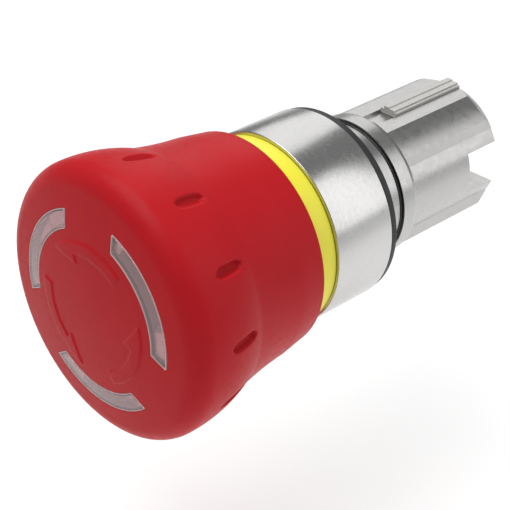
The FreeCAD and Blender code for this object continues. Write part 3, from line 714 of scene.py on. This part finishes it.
def make_reflector():
    """The silvered carrier behind the light guides: a ring with a raised pan in each window."""
    solids = [[turned(rounded(CARRIER_OUTLINE, 0.12))]]
    for clock in WINDOWS:
        edge = grown(window_outline(clock), -PAN_GAP)
        rings = [grown(edge, -distance) for distance in PAN_RINGS]
        top = [(x, y, z) for (x, z), y in zip(edge, pan_height(edge, clock))]
        solids.append([
            walls(top, [(x, PAN_REAR, z) for x, z in edge]),
            lid(edge, 0.22, lambda points, clock=clock: pan_height(points, clock), rings),
            lid(edge, 1.0, lambda points: np.full(len(points), PAN_REAR)),
        ])
    mesh = mesh_of("silver_reflector", solids, 50.0)
    piece("silver_reflector", "cap", silver_paint, mesh, ["reflector_ring"])


# ---------------------------------------------------------------- housing

# (radius, y) corners of the turned pieces of the housing.
COLLAR_OUTLINE = (
    (9.3, -22.6), (14.26, -22.6), (14.26, -12.1), (12.3, -12.1), (12.3, -9.3), (11.7, -9.3),
    (11.7, -21.35), (9.3, -21.35),
)
COLLAR_ROUND = 0.15
BEZEL_OUTLINE = (
    (12.4, -12.04), (14.75, -12.04), (14.75, -1.27), (11.65, -1.27), (11.65, -3.2), (12.4, -3.2),
)
BEZEL_ROUND = 0.14
GASKET_OUTLINE = ((10.65, -1.27), (14.58, -1.27), (14.58, 0.0), (10.65, 0.0))
GASKET_ROUND = 0.3


def make_turned_housing():
    """Collar, bezel and gasket with their edges rounded."""
    mesh = mesh_of("yellow_collar", [[turned(rounded(COLLAR_OUTLINE, COLLAR_ROUND), 360)]])
    piece("yellow_collar", "housing", yellow_plastic, mesh, ["collar_ring"])
    mesh = mesh_of("metal_bezel", [[turned(rounded(BEZEL_OUTLINE, BEZEL_ROUND), 360)]])
    piece("metal_bezel", "housing", satin_metal, mesh, ["bezel_ring"])
    mesh = mesh_of("front_gasket", [[turned(rounded(GASKET_OUTLINE, GASKET_ROUND), 300)]])
    piece("front_gasket", "housing", black_rubber, mesh, ["panel_gasket"])


def make_softened():
    """The CAD nodes that show their edges."""
    softened("snout", "snout_body", "housing", zinc, 0.1)
    softened("key", "locating_key", "housing", cream_plastic, 0.06)
    softened("foot", "plunger_foot", "plunger", white_plastic, 0.12)
    softened("foot_bolt", "foot_screw", "plunger", steel, 0.06)
    softened("seat_ring", "spring_seat", "housing", white_plastic, 0.15)
    softened("snap_ring", "rear_circlip", "housing", spring_wire, 0.06)


def make_return_coil():
    """The return spring, on its own copy of the CAD spring's mesh."""
    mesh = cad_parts["return_spring"].data.copy()
    mesh.name = "return_coil"
    coil = piece("return_coil", "housing", spring_wire, mesh, ["return_spring"])
    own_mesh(coil)


NODE_MATERIALS = {
    "cap_hub": grey_plastic,
    "hub_screws": steel,
    "twist_spring": spring_wire,
    "plunger_shaft": white_plastic,
    "latch_sleeve": brass,
    "thrust_plate": steel,
    "cap_clip": spring_wire,
    "guide_bush": white_plastic,
    "shaft_wiper": black_rubber,
    "neck_o_ring": black_rubber,
    "bezel_o_ring": black_rubber,
    "latch_spring_left": spring_wire,
    "latch_spring_right": spring_wire,
    "latch_pin_left": steel,
    "latch_pin_right": steel,
}


def dress_nodes():
    """Materials for the CAD nodes that keep their own shape."""
    for name, finish in NODE_MATERIALS.items():
        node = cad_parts[name]
        node.data.materials.clear()
        node.data.materials.append(finish)


# ---------------------------------------------------------------- studio

def make_floor():
    """A pale floor with painted light: its emission makes a pool of light round the button that
    fades further out.
    """
    half = FLOOR_SIZE / 2
    level = CAP_LOW.z - FLOOR_DROP
    middle = Vector((*GLOW_MIDDLE, level)) * MM
    mesh = bpy.data.meshes.new("floor")
    corners = [
        (-half, -half, level), (half, -half, level), (half, half, level), (-half, half, level)
    ]
    mesh.from_pydata([Vector(corner) * MM for corner in corners], [], [(0, 1, 2, 3)])
    made = bpy.data.materials.new("Pale floor")
    made.use_nodes = True
    shader = made.node_tree.nodes["Principled BSDF"]
    shader.inputs["Base Color"].default_value = (FLOOR_GREY, FLOOR_GREY, FLOOR_GREY, 1)
    shader.inputs["Roughness"].default_value = 0.9
    shader.inputs["Specular IOR Level"].default_value = 0.1
    shader.inputs["Emission Color"].default_value = (1, 1, 1, 1)
    nodes = Nodes(made.node_tree)
    place = nodes.add("ShaderNodeTexCoord").outputs["Object"]
    # Painted light: the emission paints a pool of light on the floor round the button, fading
    # outwards.
    reach = nodes.add("ShaderNodeVectorMath", {0: place, 1: middle}, operation="DISTANCE")
    glow = nodes.add("ShaderNodeMapRange", {
        "Value": reach.outputs["Value"],
        "From Min": GLOW_INNER * MM,
        "From Max": GLOW_OUTER * MM,
        "To Min": GLOW_LEVEL,
        "To Max": GLOW_EDGE,
    }, interpolation_type="SMOOTHSTEP")
    made.node_tree.links.new(glow.outputs[0], shader.inputs["Emission Strength"])
    mesh.materials.append(made)
    floor = bpy.data.objects.new("floor", mesh)
    bpy.context.scene.collection.objects.link(floor)


def softbox(name, way, width, height, level):
    """A rectangular light in a direction from the button, as bright as its level."""
    light = bpy.data.lights.new(name, "AREA")
    light.shape = "RECTANGLE"
    light.size = width * MM
    light.size_y = height * MM
    light.energy = level * math.pi * light.size * light.size_y
    obj = bpy.data.objects.new(name, light)
    bpy.context.scene.collection.objects.link(obj)
    way = Vector(way).normalized()
    obj.location = way * LIGHT_DISTANCE * MM
    obj.rotation_euler = way.to_track_quat("Z", "Y").to_euler()


def make_light():
    """An even room light and the softboxes."""
    world = bpy.data.worlds.new("Studio")
    bpy.context.scene.world = world
    world.use_nodes = True
    background = world.node_tree.nodes["Background"]
    background.inputs["Color"].default_value = (ROOM_LEVEL, ROOM_LEVEL, ROOM_LEVEL, 1)
    for box in SOFTBOXES:
        softbox(*box)


def make_camera():
    """The camera, above the button, in front of it and on its +X side."""
    camera = bpy.data.objects.new("Camera", bpy.data.cameras.new("Camera"))
    bpy.context.scene.collection.objects.link(camera)
    camera.data.lens = CAMERA_LENS
    camera.data.sensor_width = CAMERA_SENSOR
    camera.data.clip_start = CAMERA_NEAR_M
    camera.location = Vector(CAMERA_PLACE) * MM
    camera.rotation_euler = Vector(CAMERA_WAY).to_track_quat("-Z", "Y").to_euler()
    bpy.context.scene.camera = camera
    bpy.context.scene.view_settings.view_transform = "Standard"


make_camera()
make_cap()
make_light_guides()
make_guide_rims()
make_reflector()
make_turned_housing()
make_softened()
make_return_coil()
dress_nodes()
make_floor()
make_light()
